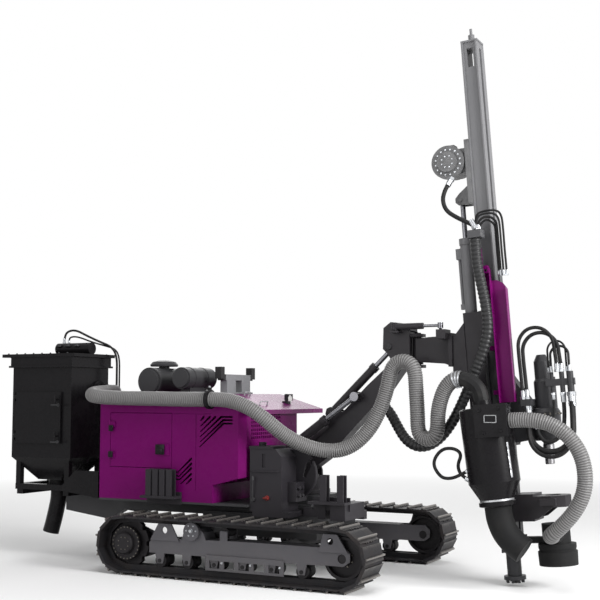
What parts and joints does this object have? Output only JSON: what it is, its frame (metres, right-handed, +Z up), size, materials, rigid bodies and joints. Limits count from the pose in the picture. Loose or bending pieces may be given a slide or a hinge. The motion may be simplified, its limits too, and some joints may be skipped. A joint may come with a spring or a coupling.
{
  "type": "blast hole drilling rig",
  "caption": "Crawler drill rig with a purple canopy, a boom that carries a leaning feed mast with a rotary head, a cyclone and a rear dust collector joined by a thick duct.",
  "frame": {"origin": "on the ground midway between the tracks, under the carbody", "axes": "+X forward to the mast, +Y to the machine's left, +Z up"},
  "size_m": [6.2554, 2.299, 5.1489],
  "materials": {
    "chassis_grey": "satin grey paint",
    "mast_grey": "satin charcoal paint",
    "purple": "gloss purple paint",
    "black": "satin black paint",
    "track_steel": "dark worn steel",
    "rod_chrome": "polished rod",
    "duct_grey": "corrugated grey hose",
    "rubber": "matt rubber",
    "spindle_steel": "turned steel"
  },
  "bodies": {
    "base": {"track_right": "track_steel", "track_left": "track_steel", "sprockets": "track_steel", "idlers": "track_steel", "rollers": "track_steel", "track_frames": "chassis_grey", "chassis_frame": "chassis_grey", "canopy_walls": "purple", "canopy_roof": "purple", "engine_block": "black", "air_cleaners": "black", "mast_rest": "chassis_grey", "collector_body": "black", "collector_stand": "black", "discharge_chute": "rubber", "rod_racks": "chassis_grey", "front_cabinet": "chassis_grey", "roof_duct": "duct_grey", "work_lamp": "black"},
    "door_right": {"engine_door_right": "purple"},
    "door_left": {"engine_door_left": "purple"},
    "filter_door": {"collector_door": "black"},
    "turret": {"turret": "mast_grey"},
    "boom": {"boom": "mast_grey", "boom_duct": "duct_grey"},
    "lift_barrels": {"lift_barrels": "mast_grey"},
    "lift_rods": {"lift_rods": "rod_chrome"},
    "knuckle": {"knuckle": "mast_grey"},
    "tilt_barrel": {"tilt_barrel": "mast_grey"},
    "tilt_rod": {"tilt_rod": "rod_chrome"},
    "arm": {"arm": "mast_grey", "cradle": "mast_grey", "compensation_barrel": "mast_grey"},
    "swing_barrel": {"swing_barrel": "mast_grey"},
    "swing_rod": {"swing_rod": "rod_chrome"},
    "mast": {"mast_beam": "mast_grey", "feed_chain": "track_steel", "feed_drive": "mast_grey", "compensation_rod": "rod_chrome", "hose_channel": "purple", "mast_table": "mast_grey", "cyclone": "black", "cyclone_boot": "rubber", "hood_duct": "duct_grey", "mast_hose": "rubber", "arch_hose": "rubber"},
    "head": {"rotary_head": "black", "head_hose": "rubber", "small_hose": "rubber", "loop_hose": "rubber"},
    "spindle": {"spindle": "spindle_steel"},
    "hood": {"dust_hood": "black"}
  },
  "joints": [
    {"name": "boom_swing", "type": "hinge", "parent": "base", "child": "turret", "pos_m": [0.4, 0, 0.8], "axis": [0, 0, 1], "range_deg": [-20, 20], "deforming": ["boom_duct"]},
    {"name": "boom_lift", "type": "hinge", "parent": "turret", "child": "boom", "pos_m": [0.4, 0, 1], "axis": [0, -1, 0], "range_deg": [-5, 25], "deforming": ["boom_duct"]},
    {"name": "lift_barrel_turn", "type": "hinge", "parent": "turret", "child": "lift_barrels", "pos_m": [0.2, 0, 1.12], "axis": [0, -1, 0], "range_deg": [-6, 25]},
    {"name": "lift_rod_slide", "type": "slide", "parent": "lift_barrels", "child": "lift_rods", "axis": [0.8121, 0, 0.5835], "range_m": [-0.11, 0.03]},
    {"name": "knuckle_tilt", "type": "hinge", "parent": "boom", "child": "knuckle", "pos_m": [1.42, 0, 2.02], "axis": [0, -1, 0], "range_deg": [-10, 35], "deforming": ["boom_duct", "mast_hose"]},
    {"name": "tilt_barrel_turn", "type": "hinge", "parent": "boom", "child": "tilt_barrel", "pos_m": [0.66163, 0, 1.53033], "axis": [0, -1, 0], "range_deg": [-2, 1]},
    {"name": "tilt_rod_slide", "type": "slide", "parent": "tilt_barrel", "child": "tilt_rod", "axis": [0.7229, 0, 0.6909], "range_m": [-0.12, 0.04]},
    {"name": "arm_swing", "type": "hinge", "parent": "knuckle", "child": "arm", "pos_m": [1.56, 0, 2.1], "axis": [0, 0, -1], "range_deg": [-15, 15], "deforming": ["boom_duct", "mast_hose"]},
    {"name": "swing_barrel_turn", "type": "hinge", "parent": "knuckle", "child": "swing_barrel", "pos_m": [1.395, -0.17, 2.335], "axis": [0, 0, -1], "range_deg": [-11, 11]},
    {"name": "swing_rod_slide", "type": "slide", "parent": "swing_barrel", "child": "swing_rod", "axis": [1, 0, 0], "range_m": [-0.05, 0.05]},
    {"name": "mast_slide", "type": "slide", "parent": "arm", "child": "mast", "axis": [-0.068, 0, 0.9977], "range_m": [-0.25, 0.25], "deforming": ["boom_duct", "mast_hose"]},
    {"name": "head_feed", "type": "slide", "parent": "mast", "child": "head", "axis": [-0.068, 0, 0.9977], "range_m": [-0.2, 2.7]},
    {"name": "spindle_turn", "type": "hinge", "parent": "head", "child": "spindle", "pos_m": [2.79245, 0, 1.22443], "axis": [-0.068, 0, 0.9977], "continuous": true},
    {"name": "hood_lift", "type": "slide", "parent": "mast", "child": "hood", "axis": [-0.068, 0, 0.9977], "range_m": [0, 0.12], "deforming": ["hood_duct"]},
    {"name": "engine_door_right_hinge", "type": "hinge", "parent": "base", "child": "door_right", "pos_m": [-1.463, -0.7623, 1.25], "axis": [0, 0, -1], "range_deg": [0, 110]},
    {"name": "engine_door_left_hinge", "type": "hinge", "parent": "base", "child": "door_left", "pos_m": [-1.463, 0.8423, 1.25], "axis": [0, 0, 1], "range_deg": [0, 110]},
    {"name": "collector_door_hinge", "type": "hinge", "parent": "base", "child": "filter_door", "pos_m": [-2.81, -0.663, 1.46], "axis": [0, 0, -1], "range_deg": [0, 110]}
  ],
  "couplings": [
    {"joint": "lift_barrel_turn", "follows": "boom_lift", "ratio": 0.9038},
    {"joint": "lift_rod_slide", "follows": "boom_lift", "m_per_rad": -0.2141},
    {"joint": "tilt_barrel_turn", "follows": "knuckle_tilt", "ratio": -0.03},
    {"joint": "tilt_rod_slide", "follows": "knuckle_tilt", "m_per_rad": -0.17},
    {"joint": "swing_barrel_turn", "follows": "arm_swing", "ratio": 0.6374},
    {"joint": "swing_rod_slide", "follows": "arm_swing", "m_per_rad": -0.17}
  ]
}
